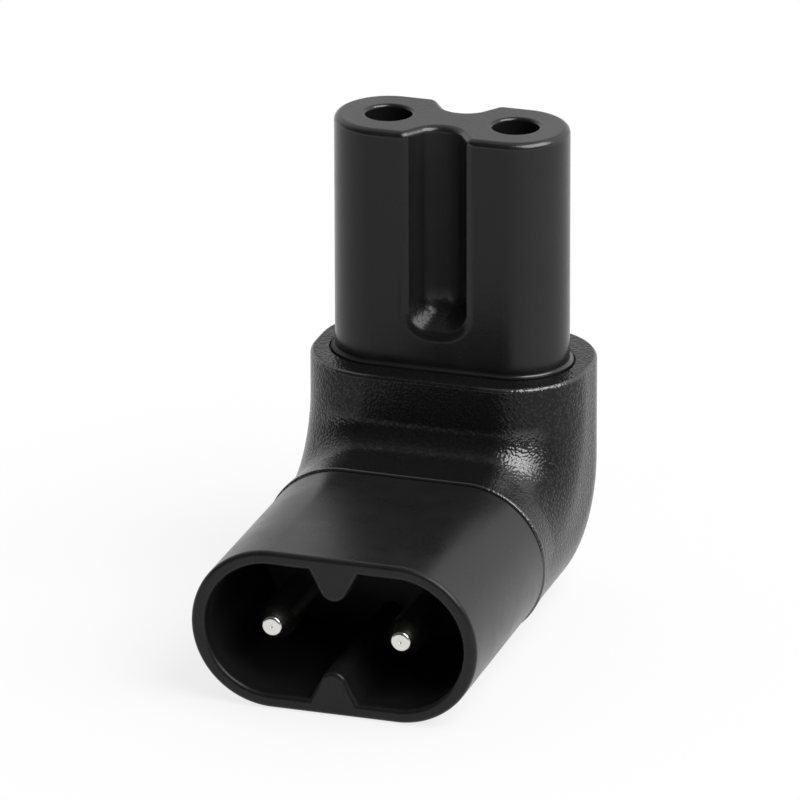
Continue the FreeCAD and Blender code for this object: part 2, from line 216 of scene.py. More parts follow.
def within_stadium(axis: Axis, centre: Vec3, radius: float, pitch: float) -> Test:
    """Make a test for what lies inside a bar with two round ends side by side in X.

    Args:
        axis: The axis that the bar runs along, Y or Z.
        centre: A point on that axis.
        radius: The radius of its ends.
        pitch: The distance between the axes of its ends, 0 for a round bar.

    Returns:
        A test that takes a vertex, an edge or a face.
    """
    depth = Axis.Z if axis is Axis.Y else Axis.Y

    def distance(point: Vector) -> float:
        """How far a point is from the line that joins the axes."""
        offset = point - Vector(centre)
        return math.hypot(max(abs(offset.x) - pitch / 2, 0.0), offset[depth.value])

    return lambda item: all(distance(corner.co) <= radius + LOOSE for corner in corners(item))


def every(*tests: Test) -> Test:
    """A test that holds where all the given tests hold."""
    return lambda item: all(test(item) for test in tests)


def either(*tests: Test) -> Test:
    """A test that holds where any of the given tests holds."""
    return lambda item: any(test(item) for test in tests)


def outside(test: Test) -> Test:
    """A test that holds where the given test fails."""
    return lambda item: not test(item)


def between(axis: Axis, low: float, high: float) -> Test:
    """A test for what lies wholly between two places on an axis."""
    return every(past_plane(axis, low), past_plane(axis, high, -1))


class Blank:
    """A mesh in the making, in millimetres, shaped by operators as by hand."""

    def __init__(self, name: str) -> None:
        """Take over the primitive that was just added.

        Args:
            name: The name of the piece or of the cutter.
        """
        self.thing: bpy.types.Object = bpy.context.object
        self.thing.name = name
        self.thing.data.name = name
        bpy.ops.object.transform_apply(location=True, rotation=True, scale=True)

    @classmethod
    def block(cls, name: str, low: Vec3, high: Vec3) -> Blank:
        """Add a rectangular block.

        Args:
            name: Its name.
            low: Its lowest corner.
            high: Its highest corner.

        Returns:
            The block, with its place in its mesh.
        """
        middle = (Vector(low) + Vector(high)) / 2
        bpy.ops.mesh.primitive_cube_add(size=1.0, location=middle)
        bpy.context.object.scale = Vector(high) - Vector(low)
        return cls(name)

    @classmethod
    def stadium(
        cls,
        name: str,
        radius: float,
        pitch: float,
        start: Vec3,
        axis: Axis,
        end: float,
        sides: Sides = Sides.NOSE,
    ) -> Blank:
        """Add a bar with two round ends side by side in X, or a round bar at pitch 0.

        Args:
            name: Its name.
            radius: The radius of its ends.
            pitch: The distance between the axes of its ends.
            start: The middle of its first face.
            axis: The axis that it runs along, Y or Z.
            end: The coordinate on that axis where it ends.
            sides: The number of corners in its outline.

        Returns:
            The bar, with its place in its mesh.
        """
        half_step = math.pi / sides
        turn = (0.0, 0.0, half_step) if axis is Axis.Z else (math.pi / 2, half_step, 0.0)
        corner_radius = radius / math.cos(half_step)
        bpy.ops.mesh.primitive_circle_add(
            vertices=sides, radius=corner_radius, fill_type="NGON", location=start, rotation=turn
        )
        bar = cls(name)
        for sign in (-1, 1):
            bar.shift(past_plane(Axis.X, start[0], sign), (sign * pitch / 2, 0.0, 0.0))
        run = [0.0, 0.0, 0.0]
        run[axis.value] = end - start[axis.value]
        bar.extrude(on_plane(axis, start[axis.value]), tuple(run))
        bar.face_outwards()
        return bar

    @contextmanager
    def in_hand(self) -> Iterator[None]:
        """Hold the mesh in edit mode, alone and all selected, for as long as the block runs."""
        bpy.ops.object.select_all(action="DESELECT")
        self.thing.select_set(True)
        bpy.context.view_layer.objects.active = self.thing
        bpy.ops.object.mode_set(mode="EDIT")
        bpy.ops.mesh.select_all(action="SELECT")
        yield
        bpy.ops.object.mode_set(mode="OBJECT")

    @contextmanager
    def picked(self, element: Element, test: Test) -> Iterator[None]:
        """Hold the mesh in edit mode with only what passes a test selected.

        Args:
            element: What is selected.
            test: The test of its place.
        """
        with self.in_hand():
            bpy.ops.mesh.select_mode(type=element.name)
            bpy.ops.mesh.select_all(action="DESELECT")
            mesh = bmesh.from_edit_mesh(self.thing.data)
            for item in getattr(mesh, element.value):
                if test(item):
                    item.select_set(True)
            mesh.select_flush_mode()
            bmesh.update_edit_mesh(self.thing.data)
            yield

    def shift(self, test: Test, move: Vec3) -> None:
        """Move the vertices that pass a test."""
        with self.picked(Element.VERT, test):
            bpy.ops.transform.translate(value=move)

    def scale(self, test: Test, factors: Vec3, centre: Vec3) -> None:
        """Stretch the vertices that pass a test, by a factor on each axis about a point."""
        with self.picked(Element.VERT, test):
            bpy.ops.transform.resize(value=factors, center_override=centre)

    def extrude(self, test: Test, run: Vec3) -> None:
        """Pull out the faces that pass a test."""
        with self.picked(Element.FACE, test):
            bpy.ops.mesh.extrude_region_move(TRANSFORM_OT_translate={"value": run})

    def draw_out(self, test: Test, steps: list[tuple[Vec3, float]], centre: Vec3) -> None:
        """Pull a round face out in steps, each a move and then a change of width.

        Args:
            test: The test of the face's place.
            steps: How far each step goes, and the factor on its width in X and Z.
            centre: A point on the axis of the widths.
        """
        with self.picked(Element.FACE, test):
            for move, factor in steps:
                bpy.ops.mesh.extrude_region_move(TRANSFORM_OT_translate={"value": move})
                bpy.ops.transform.resize(value=(factor, 1.0, factor), center_override=centre)

    def split(self, axis: Axis, place: float) -> None:
        """Draw an edge round the mesh where a plane meets it.

        Args:
            axis: The axis that the plane stands across.
            place: The plane's coordinate on that axis.
        """
        point, normal = [0.0, 0.0, 0.0], [0.0, 0.0, 0.0]
        point[axis.value], normal[axis.value] = place, 1.0
        with self.in_hand():
            bpy.ops.mesh.bisect(plane_co=point, plane_no=normal)

    def tidy(self) -> None:
        """Take out the edges that lie within flat faces."""
        with self.in_hand():
            bpy.ops.mesh.remove_doubles(threshold=NEAR)
            bpy.ops.mesh.dissolve_limited(angle_limit=math.radians(FLAT_DEGREES))

    def round(
        self, test: Test, radius: float, strips: Strips, element: Element = Element.EDGE
    ) -> None:
        """Round the edges of a solid, or the corners of a flat outline, that pass a test.

        Args:
            test: The test of their place.
            radius: The rounding's reach on each side.
            strips: The number of strips across it.
            element: Edges, or vertices for the corners of an outline.
        """
        affect = "VERTICES" if element is Element.VERT else "EDGES"
        with self.picked(element, test):
            bpy.ops.mesh.bevel(offset=radius, segments=strips, profile=ROUND_PROFILE, affect=affect)

    def face_outwards(self) -> None:
        """Turn every face of the closed mesh outwards."""
        with self.in_hand():
            bpy.ops.mesh.normals_make_consistent(inside=False)

    def combine(self, tool: Blank, operation: str) -> None:
        """Cut or join with another mesh, which is used up.

        Args:
            tool: The other mesh.
            operation: The Boolean modifier's operation.
        """
        modifier = self.thing.modifiers.new(tool.thing.name, "BOOLEAN")
        modifier.operation = operation
        modifier.solver = "EXACT"
        modifier.object = tool.thing
        self.apply(modifier)
        bpy.data.meshes.remove(tool.thing.data)

    def cut(self, tool: Blank) -> None:
        """Take another mesh out of this one."""
        self.combine(tool, "DIFFERENCE")

    def join(self, tool: Blank) -> None:
        """Add another mesh to this one."""
        self.combine(tool, "UNION")

    def apply(self, modifier: bpy.types.Modifier) -> None:
        """Apply a modifier to the mesh."""
        bpy.context.view_layer.objects.active = self.thing
        bpy.ops.object.modifier_apply(modifier=modifier.name)

    def finish(self) -> bpy.types.Object:
        """Smooth the shading, keep the flats flat and bring the mesh to metres.

        Returns:
            The finished object, at the origin, unturned and unscaled.
        """
        with self.in_hand():
            bpy.ops.mesh.remove_doubles(threshold=NEAR)
        bpy.ops.object.shade_smooth_by_angle(angle=math.radians(SHARP_DEGREES))
        flats = self.thing.modifiers.new("flats", "WEIGHTED_NORMAL")
        flats.keep_sharp = True
        flats.weight = FLAT_WEIGHT
        self.apply(flats)
        self.thing.scale = (MILLIMETRE,) * 3
        bpy.ops.object.transform_apply(location=False, rotation=False, scale=True)
        return self.thing


# Shader sheets


class Signal:
    """One output of a shader sheet, whose arithmetic adds Math nodes."""

    def __init__(self, sheet: Sheet, socket: bpy.types.NodeSocket | None) -> None:
        """Wrap a socket.

        Args:
            sheet: The sheet that the socket is on.
            socket: The output, or None after a node that has none.
        """
        self.sheet = sheet
        self.socket = socket

    def math(self, operation: str, *values: Any) -> Signal:
        """Add a Math node with these operands."""
        return self.sheet.add("ShaderNodeMath", {"operation": operation}, dict(enumerate(values)))

    def __add__(self, other: Any) -> Signal:
        """This plus other."""
        return self.math("ADD", self, other)

    def __radd__(self, other: Any) -> Signal:
        """Other plus this."""
        return self.math("ADD", other, self)

    def __sub__(self, other: Any) -> Signal:
        """This less other."""
        return self.math("SUBTRACT", self, other)

    def __rsub__(self, other: Any) -> Signal:
        """Other less this."""
        return self.math("SUBTRACT", other, self)

    def __mul__(self, other: Any) -> Signal:
        """This times other."""
        return self.math("MULTIPLY", self, other)

    def __rmul__(self, other: Any) -> Signal:
        """Other times this."""
        return self.math("MULTIPLY", other, self)

    def __pow__(self, other: Any) -> Signal:
        """This to the power of other."""
        return self.math("POWER", self, other)

    def __abs__(self) -> Signal:
        """This without its sign."""
        return self.math("ABSOLUTE", self)

    def at_least(self, other: Any) -> Signal:
        """The larger of this and other."""
        return self.math("MAXIMUM", self, other)

    def step(self, low: float, high: float) -> Signal:
        """A smooth rise from 0 at low to 1 at high."""
        sockets = {"Value": self, "From Min": low, "From Max": high}
        return self.sheet.add("ShaderNodeMapRange", {"interpolation_type": "SMOOTHSTEP"}, sockets)


def reach(first: Signal, second: Signal) -> Signal:
    """The distance that two lengths at right angles span."""
    return (first * first + second * second) ** 0.5


class Sheet:
    """A shader's node tree, filled node by node."""

    def __init__(self, tree: bpy.types.NodeTree) -> None:
        """Start an empty tree.

        Args:
            tree: The material's or the world's tree.
        """
        self.tree = tree
        tree.nodes.clear()

    def add(
        self,
        kind: str,
        settings: dict[str, Any] | None = None,
        sockets: dict[str | int, Any] | None = None,
        output: str | int = 0,
    ) -> Signal:
        """Add a node.

        Args:
            kind: The node's type.
            settings: Its own settings, which are set first.
            sockets: The values or links of its inputs, by name or number.
            output: The output that is wanted.

        Returns:
            That output.
        """
        node = self.tree.nodes.new(kind)
        for key, value in (settings or {}).items():
            setattr(node, key, value)
        for key, value in (sockets or {}).items():
            if isinstance(value, Signal):
                self.tree.links.new(value.socket, node.inputs[key])
            else:
                node.inputs[key].default_value = value
        return Signal(self, node.outputs[output] if node.outputs else None)

    def place(self) -> Signal:
        """The point on the piece, in metres in the frame."""
        return self.add("ShaderNodeTexCoord", output="Object")

    def parts(self, vector: Signal) -> tuple[Signal, Signal, Signal]:
        """The three coordinates of a vector."""
        node = self.add("ShaderNodeSeparateXYZ", None, {"Vector": vector}).socket.node
        return tuple(Signal(self, output) for output in node.outputs)

    def noise(
        self, vector: Signal, size: float, detail: Detail = Detail.SOFT, output: str = "Fac"
    ) -> Signal:
        """Soft noise whose blotches are about a size, in metres, across."""
        sockets = {"Vector": vector, "Scale": 1.0 / size, "Detail": detail.value}
        return self.add("ShaderNodeTexNoise", None, sockets, output)

    def vector_math(self, operation: str, sockets: dict[str | int, Any]) -> Signal:
        """Add a Vector Math node with these operands."""
        return self.add("ShaderNodeVectorMath", {"operation": operation}, sockets)

    def tint(self, factor: Signal, low: Vec3, high: Vec3) -> Signal:
        """A colour between two, by a factor."""
        sockets = {0: factor, 6: (*low, 1.0), 7: (*high, 1.0)}
        return self.add("ShaderNodeMix", {"data_type": "RGBA"}, sockets, 2)

    def bump(self, height: Signal, distance: float) -> Signal:
        """A normal from a height from 0 to 1 that stands for a distance in metres."""
        sockets = {"Height": height, "Distance": distance, "Strength": 1.0}
        return self.add("ShaderNodeBump", None, sockets, "Normal")

    def coat(self, sockets: dict[str, Any]) -> Signal:
        """A Principled shader."""
        return self.add("ShaderNodeBsdfPrincipled", None, sockets)

    def blend(self, share: Signal, first: Signal, second: Signal) -> Signal:
        """Two shaders, with a share of the second."""
        return self.add("ShaderNodeMixShader", None, {"Fac": share, 1: first, 2: second})

    def polished(self, finish: dict[str, Any], ior: Span, share: Signal) -> Signal:
        """A dull and a glossy coat alike in all but their IOR, with a share of the glossy."""
        return self.blend(share, *(self.coat({**finish, "IOR": value}) for value in ior))

    def surface(self, shader: Signal) -> None:
        """Close the sheet with a shader."""
        self.add("ShaderNodeOutputMaterial", None, {"Surface": shader})


def new_sheet(name: str) -> tuple[bpy.types.Material, Sheet]:
    """Make a material.

    Args:
        name: Its name.

    Returns:
        The material and its empty sheet.
    """
    material = bpy.data.materials.new(name)
    material.use_nodes = True
    return material, Sheet(material.node_tree)


# Finishes


@dataclass(frozen=True)
class PebbledVinyl:
    """Soft black vinyl with the fine pebbled grain of its mould, polished where it is rubbed.

    A span says where a mask starts to rise or fall and where it has done so; ior has the
    dull coat's and the glossy coat's. Lengths are in metres.
    """

    dark: Vec3 = (0.0075, 0.0075, 0.0077)
    light: Vec3 = (0.0100, 0.0100, 0.0103)
    pebble: float = 0.00021
    pebble_fall: Span = (0.1, 0.75)
    pebble_blend: float = 0.35
    pebble_sway: float = 0.9
    ripple: float = 0.00085
    ripple_share: float = 0.15
    depth: float = 0.000026
    front_wear: float = 0.72
    edge_wear: float = 0.25
    roughness: float = 0.19
    gap_roughness: float = 0.06
    ior: Span = (1.26, 1.85)
    skin: float = 0.27
    skin_patch: float = 1.6
    skin_rise: Span = (0.2, 0.8)
    polish: float = 1.0
    left_rub: float = 0.4
    rub_rise: Span = (-0.0024, 0.0024)
    crook_fall: Span = (0.0024, 0.0038)
    crook_top: Span = (-0.0007, 0.00035)
    middle_fall: Span = (0.0042, 0.0062)
    flank_rise: Span = (0.0030, 0.0045)
    lip_rise: Span = (0.000006, 0.000036)
    lip_fall: Span = (0.00015, 0.0003)
    seam_fall: Span = (0.00012, 0.0003)

    def pebbles(self, sheet: Sheet, place: Signal) -> Signal:
        """Round pebbles, 1 on their tops and 0 in the gaps, set out unevenly.

        Args:
            sheet: The sheet that they are on.
            place: The point on the piece.

        Returns:
            Their height.
        """
        drift = sheet.noise(place, self.ripple, output="Color")
        sway = sheet.vector_math("SCALE", {0: drift, "Scale": self.pebble * self.pebble_sway})
        cells = sheet.add(
            "ShaderNodeTexVoronoi",
            {"feature": "SMOOTH_F1"},
            {
                "Vector": sheet.vector_math("ADD", {0: place, 1: sway}),
                "Scale": 1 / self.pebble,
                "Smoothness": self.pebble_blend,
            },
            "Distance",
        )
        return 1 - cells.step(*self.pebble_fall)

    def material(self, layout: Layout) -> bpy.types.Material:
        """Build the finish.

        Args:
            layout: Where the crook, the collar and the seam are, in millimetres.

        Returns:
            The material: pebbles over a slower ripple, smoother in front, with polish on
            the edges and on both sides of the crook.
        """
        material, sheet = new_sheet("pebbled_vinyl")
        at = layout.in_metres()
        place = sheet.place()
        x, y, z = sheet.parts(place)
        above = z - at.crook_z
        crook = 1 - reach(y - at.joint_y, above).step(*self.crook_fall)
        crook = crook * (1 - above.step(*self.crook_top))
        rubbed = self.left_rub + (1 - self.left_rub) * x.step(*self.rub_rise)
        middle = 1 - abs(x).step(*self.middle_fall)
        ahead = 1 - y.step(at.collar_y, at.nose_y)
        depth = at.shoulder_z - z
        lip = depth.step(*self.lip_rise) * (1 - depth.step(*self.lip_fall))
        seam = 1 - (y - at.seam_y).step(*self.seam_fall)
        edges = abs(x).step(*self.flank_rise) * lip + seam
        pebbles = self.pebbles(sheet, place)
        patches = sheet.noise(place, self.pebble * self.skin_patch, Detail.RICH)
        ripple = sheet.noise(place, self.ripple)
        height = (1 - self.ripple_share) * pebbles + self.ripple_share * ripple
        relief = 1 - self.front_wear * middle * ahead - self.edge_wear * edges
        finish = {
            "Base Color": sheet.tint(pebbles, self.dark, self.light),
            "Roughness": self.roughness + self.gap_roughness * (1 - pebbles),
            "Normal": sheet.bump(height * relief, self.depth),
        }
        skin = self.skin * pebbles * patches.step(*self.skin_rise)
        share = skin + self.polish * ((1 - middle) * crook * rubbed + edges)
        sheet.surface(sheet.polished(finish, self.ior, share))
        return material


@dataclass(frozen=True)
class SatinPlastic:
    """Smooth black moulded plastic: satin, hazier on the shroud, with a lighter colour painted deep
    in the cavity as fill light in its shade.

    A span says where a mask starts to rise or fall and where it has done so; ior has the
    dull coat's and the glossy coat's. Lengths are in metres.
    """

    dark: Vec3 = (0.0070, 0.0070, 0.0072)
    # Light end of the plastic's film tone, also the painted fill light deep in the cavity
    dusty: Vec3 = (0.0160, 0.0160, 0.0163)
    cloud: float = 0.0022
    tooth: float = 0.00011
    depth: float = 0.0000055
    crown_tooth: float = 1.5
    toe_tooth: float = 6.0
    toe_grain: float = 0.00022
    film: float = 0.45
    shroud_film: float = 0.3
    roughness: float = 0.21
    cloud_roughness: float = 0.2
    tooth_roughness: float = 0.05
    shroud_haze: float = 0.06
    dulling: float = 0.3
    ior: Span = (1.30, 1.65)
    flat_gloss: float = 0.03
    end_gloss: float = 0.2
    crown_gloss: float = 0.115
    shroud_gloss: float = 0.155
    smudge: float = 0.12
    polish: float = 0.9
    toe_wear: float = 0.4
    end_reach: float = 0.75
    margin: Span = (0.0, 0.0003)
    mouth_rise: Span = (0.0003, 0.0012)
    # Where the painted fill light in the cavity starts and where it is full, behind the rim
    dust_rise: Span = (0.0025, 0.0080)
    crown_fall: Span = (0.0, 0.0001)
    lip_fall: Span = (0.00025, 0.0005)
    foot_fall: Span = (0.000125, 0.00025)
    channel_rise: Span = (0.0, 0.0005)
    channel_fall: Span = (0.0015, 0.0020)
    toe_fall: Span = (0.0015, 0.0030)

    def material(self, layout: Layout) -> bpy.types.Material:
        """Build the finish.

        Args:
            layout: Where the nose, its grooves and the inlet's cavity are, in millimetres.

        Returns:
            The material: a faint tooth, slow clouds in the gloss, more gloss on the round
            ends and the top edge, dull grooves with shiny ends, and painted fill light deep in the
            cavity, where the colour is lightened to lift its shade.
        """
        material, sheet = new_sheet("satin_plastic")
        at = layout.in_metres()
        place = sheet.place()
        x, y, z = sheet.parts(place)
        cloud = sheet.noise(place, self.cloud, Detail.RICH)
        swing = cloud - NOISE_MEAN
        tooth = sheet.noise(place, self.tooth, Detail.PLAIN)

        # The shroud and its cavity
        behind = y - at.rim_y
        handled = 1 - (y - at.seam_y).step(*self.margin)
        over = (abs(x) - at.shroud_pitch / 2).at_least(0.0)
        wall = reach(over, z - at.pin_z) - at.cavity_radius
        inside = behind.step(*self.mouth_rise) * (1 - wall.step(*self.margin))
        inside = inside * (1 - (y - at.floor_y).step(*self.margin))
        # Painted fill light: deeper in the cavity the colour turns lighter, lifting its shade
        painted_fill = inside * behind.step(*self.dust_rise)

        # The nose: its end, its grooves and its foot
        depth = at.nose_top_z - z
        crown = 1 - depth.step(*self.crown_fall)
        below = depth.step(*self.lip_fall)
        lip = (1 - crown) * (1 - below)
        sunk = at.nose_radius - abs(y - at.nose_y)
        channel = sunk.step(*self.channel_rise) * (1 - abs(x).step(*self.channel_fall))
        high = (z - at.groove_end_z).step(*self.toe_fall)
        toe = channel * (1 - high)
        groove = channel * high * below
        pole = at.pole_pitch / 2
        ends = abs(x).step(pole, pole + self.end_reach * at.nose_radius)
        right = x.step(0.0, pole)
        foot = (1 - handled) * (1 - (z - at.shoulder_z).step(*self.foot_fall))

        rough = sheet.noise(place, self.toe_grain)
        grain = tooth * (1 + self.crown_tooth * crown) + self.toe_tooth * toe * rough
        film = (self.film * cloud + self.shroud_film * handled) * (1 - inside)
        finish = {
            # Random film and the lighter shroud are the plastic's tone; the cavity's lighter colour
            # is painted fill light
            "Base Color": sheet.tint(film + (1 - film) * painted_fill, self.dark, self.dusty),
            "Roughness": self.roughness
            + self.cloud_roughness * swing
            + self.tooth_roughness * tooth
            + self.dulling * (inside + groove + foot * (1 - right))
            + self.shroud_haze * handled,
            "Normal": sheet.bump(grain, self.depth),
        }
        nose = self.flat_gloss + self.end_gloss * ends + self.crown_gloss * crown
        shroud = self.flat_gloss + self.shroud_gloss * behind.step(*self.margin)
        share = (
            (1 - handled) * (1 - groove) * nose
            + handled * (shroud + self.smudge * swing)
            + self.polish * (lip + foot * right + self.toe_wear * toe)
        )
        sheet.surface(sheet.polished(finish, self.ior, share))
        return material


@dataclass(frozen=True)
class DrawnMetal:
    """Drawn metal with fine scratches and clouds of tarnish in its colour and its gloss."""

    name: str
    dark: Vec3
    light: Vec3
    roughness: float
    tarnish: float = 0.15
    cloud: float = 0.0011
    cloud_detail: Detail = Detail.RICHEST
    grain: float = 0.00008
    depth: float = 0.000002

    def marks(self, sheet: Sheet, place: Signal, layout: Layout) -> Signal:
        """The height of the marks that its making left: scratches all over."""
        return sheet.noise(place, self.grain, Detail.PLAIN)

    def material(self, layout: Layout) -> bpy.types.Material:
        """Build the finish.

        Args:
            layout: Where the poles are, in millimetres.

        Returns:
            The material.
        """
        material, sheet = new_sheet(self.name)
        place = sheet.place()
        cloud = sheet.noise(place, self.cloud, self.cloud_detail)
        shader = sheet.coat(
            {
                "Base Color": sheet.tint(cloud, self.dark, self.light),
                "Metallic": 1.0,
                "Roughness": self.roughness + self.tarnish * cloud,
                "Normal": sheet.bump(self.marks(sheet, place, layout), self.depth),
            }
        )
        sheet.surface(shader)
        return material


@dataclass(frozen=True)
class TurnedMetal(DrawnMetal):
    """Turned metal with fine tool rings round the axes of the pins."""

    tarnish: float = 0.12
    cloud: float = 0.0006
    cloud_detail: Detail = Detail.RICH
    grain: float = 0.00009
    depth: float = 0.0000025

    def marks(self, sheet: Sheet, place: Signal, layout: Layout) -> Signal:
        """The height of the tool's rings.

        Args:
            sheet: The sheet that they are on.
            place: The point on the piece.
            layout: Where the poles are, in millimetres.

        Returns:
            A noise that changes with the distance from the pin's axis alone.
        """
        at = layout.in_metres()
        x, _, z = sheet.parts(place)
        radius = reach(abs(x) - at.pole_pitch / 2, z - at.pin_z)
        return sheet.noise(sheet.add("ShaderNodeCombineXYZ", None, {"X": radius}), self.grain)


NICKEL = TurnedMetal(
    "nickel_plate", dark=(0.62, 0.61, 0.58), light=(0.80, 0.79, 0.76), roughness=0.18
)
BRASS = DrawnMetal(
    "contact_brass", dark=(0.52, 0.36, 0.14), light=(0.75, 0.56, 0.27), roughness=0.28
)
COPPER = DrawnMetal(
    "link_copper", dark=(0.55, 0.24, 0.13), light=(0.78, 0.41, 0.26), roughness=0.30
)


# Pieces


def nose_bar(place: Layout, name: str, radius: float, low: float, high: float) -> Blank:
    """A bar with both axes of the nose, from one Z to another."""
    start = (0.0, place.nose_y, low)
    return Blank.stadium(name, radius, place.pole_pitch, start, Axis.Z, high)


def shroud_bar(
    place: Layout, name: str, radius: float, front: float, rear: float, sides: Sides = Sides.NOSE
) -> Blank:
    """A bar with both axes of the shroud, from one Y to another."""
    start = (0.0, front, place.pin_z)
    return Blank.stadium(name, radius, place.shroud_pitch, start, Axis.Y, rear, sides)


def hole_bar(
    place: Layout, side: Side, radius: float, low: float, high: float, sides: Sides
) -> Blank:
    """A round bar upright on the axis of one hole of the nose, from one Z to another."""
    start = (place.pole(side), place.nose_y, low)
    return Blank.stadium("hole_bar", radius, 0.0, start, Axis.Z, high, sides)


def pin_bar(
    place: Layout, side: Side, radius: float, front: float, rear: float, sides: Sides = Sides.PIN
) -> Blank:
    """A round bar on the axis of one pin, named after it, from one Y to another."""
    start = (place.pole(side), front, place.pin_z)
    return Blank.stadium(f"{side.word}_pin", radius, 0.0, start, Axis.Y, rear, sides)


def seat(piece: bpy.types.Object, node: str, material: bpy.types.Material) -> None:
    """Put a finished piece in the place of its node.

    Args:
        piece: The new piece.
        node: The node that it stands for.
        material: Its finish.
    """
    piece.data.materials.clear()
    piece.data.materials.append(material)
    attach(piece, BODY)
    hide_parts(node)
    low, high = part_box(node)
    off = 0.0
    for axis in Axis:
        places = [corner[axis.value] for corner in piece.bound_box]
        off = max(off, abs(min(places) - low[axis.value]), abs(max(places) - high[axis.value]))
    faces = len(piece.data.polygons)
    LOG.info("%s: %d faces, %.3f mm off its node's box", piece.name, faces, off / MILLIMETRE)


@dataclass
class SocketNose:
    """The socket end: two lobes, key grooves down both faces and two holes."""

    layout: Layout
    edge_round: float = 0.45
    hole_radius: float = 1.5
    hole_depth: float = 5.0
    hole_round: float = 0.24
    chamber_radius: float = 2.1
    groove_mouth: float = 4.3
    groove_floor: float = 1.7
    groove_depth: float = 1.95
    groove_slope: float = 1.4
    groove_corner: float = 1.95
    groove_floor_corner: float = 0.8
    groove_floor_round: float = 0.75
    foot_height: float = 0.06
    foot_round: float = 0.2
    spare: float = 0.5

    def groove(self, front: int) -> Blank:
        """Model the cutter of one groove.

        Args:
            front: -1 for the groove in the front, 1 for the one in the back.

        Returns:
            A tapered tongue with a rounded end and a rounded floor.
        """
        place = self.layout
        share = 1 + self.spare / self.groove_depth
        floor_half = self.groove_floor / 2
        mouth_half = floor_half + (self.groove_mouth / 2 - floor_half) * share
        rise = self.groove_slope * share
        low = place.groove_end_z - self.groove_slope * (share - 1)
        high = place.nose_top_z + self.spare
        mouth_y = place.nose_y + front * (place.nose_radius + self.spare)
        floor_y = place.nose_y + front * (place.nose_radius - self.groove_depth)
        bpy.ops.mesh.primitive_plane_add(
            size=1.0, location=(0.0, mouth_y, (low + high) / 2), rotation=(math.pi / 2, 0.0, 0.0)
        )
        bpy.context.object.scale = (2 * mouth_half, high - low, 1.0)
        tongue = Blank("groove_cutter")
        tongue.round(on_plane(Axis.Z, low), self.groove_corner, Strips.CORNER, Element.VERT)
        tongue.extrude(on_plane(Axis.Y, mouth_y), (0.0, floor_y - mouth_y, 0.0))
        on_floor = on_plane(Axis.Y, floor_y)
        tongue.scale(on_floor, (floor_half / mouth_half, 1.0, 1.0), (0.0, floor_y, 0.0))
        bend = every(on_floor, past_plane(Axis.Z, low + self.groove_corner + self.spare, -1))
        flatten = self.groove_floor_corner / self.groove_corner
        tongue.scale(bend, (1.0, 1.0, flatten), (0.0, floor_y, low))
        tongue.shift(bend, (0.0, 0.0, rise))
        tongue.face_outwards()
        edges = every(on_floor, outside(on_plane(Axis.Z, high)))
        tongue.round(edges, self.groove_floor_round, Strips.FLOOR)
        return tongue

    def build(self) -> bpy.types.Object:
        """Model the nose with its tail.

        Returns:
            The finished piece.
        """
        place = self.layout
        top, tail = place.nose_top_z, place.nose_tail_z
        nose = nose_bar(place, "nose_moulding", place.nose_radius, tail, top)
        for front in (-1, 1):
            nose.cut(self.groove(front))
        faces = [on_plane(Axis.Y, place.nose_y + sign * place.nose_radius) for sign in (-1, 1)]
        half = self.groove_mouth / 2 + self.spare
        within = between(Axis.X, -half, half)
        mouths = every(either(*faces), within, past_plane(Axis.Z, place.shoulder_z))
        nose.round(either(mouths, on_plane(Axis.Z, top)), self.edge_round, Strips.EDGE)
        flange_top = tail + place.nose_flange_height
        nose.join(nose_bar(place, "nose_flange", place.nose_flange_radius, tail, flange_top))
        self.add_foot(nose)
        low = tail - self.spare
        bores = [
            (self.hole_radius, top + self.spare),
            (self.chamber_radius, top - self.hole_depth),
        ]
        for side in Side:
            for radius, high in bores:
                nose.cut(hole_bar(place, side, radius, low, high, Sides.HOLE))
            centre = (place.pole(side), place.nose_y, top)
            hole = within_stadium(Axis.Z, centre, self.hole_radius, 0.0)
            nose.round(every(on_plane(Axis.Z, top), hole), self.hole_round, Strips.SMALL)
        return nose.finish()

    def add_foot(self, nose: Blank) -> None:
        """Add the low foot that flares out of the nose at the shoulder.

        Args:
            nose: The nose, without its holes.
        """
        place = self.layout
        low = place.shoulder_z - place.nose_foot_depth
        high = place.shoulder_z + self.foot_height
        nose.join(nose_bar(place, "nose_foot", place.nose_foot_radius, low, high))
        centre = (0.0, place.nose_y, high)
        column = within_stadium(Axis.Z, centre, place.nose_radius, place.pole_pitch)
        nose.round(every(on_plane(Axis.Z, high), column), self.foot_round, Strips.EDGE)

    def dress(self, material: bpy.types.Material) -> None:
        """Build the nose and give it its finish."""
        seat(self.build(), "socket_nose", material)


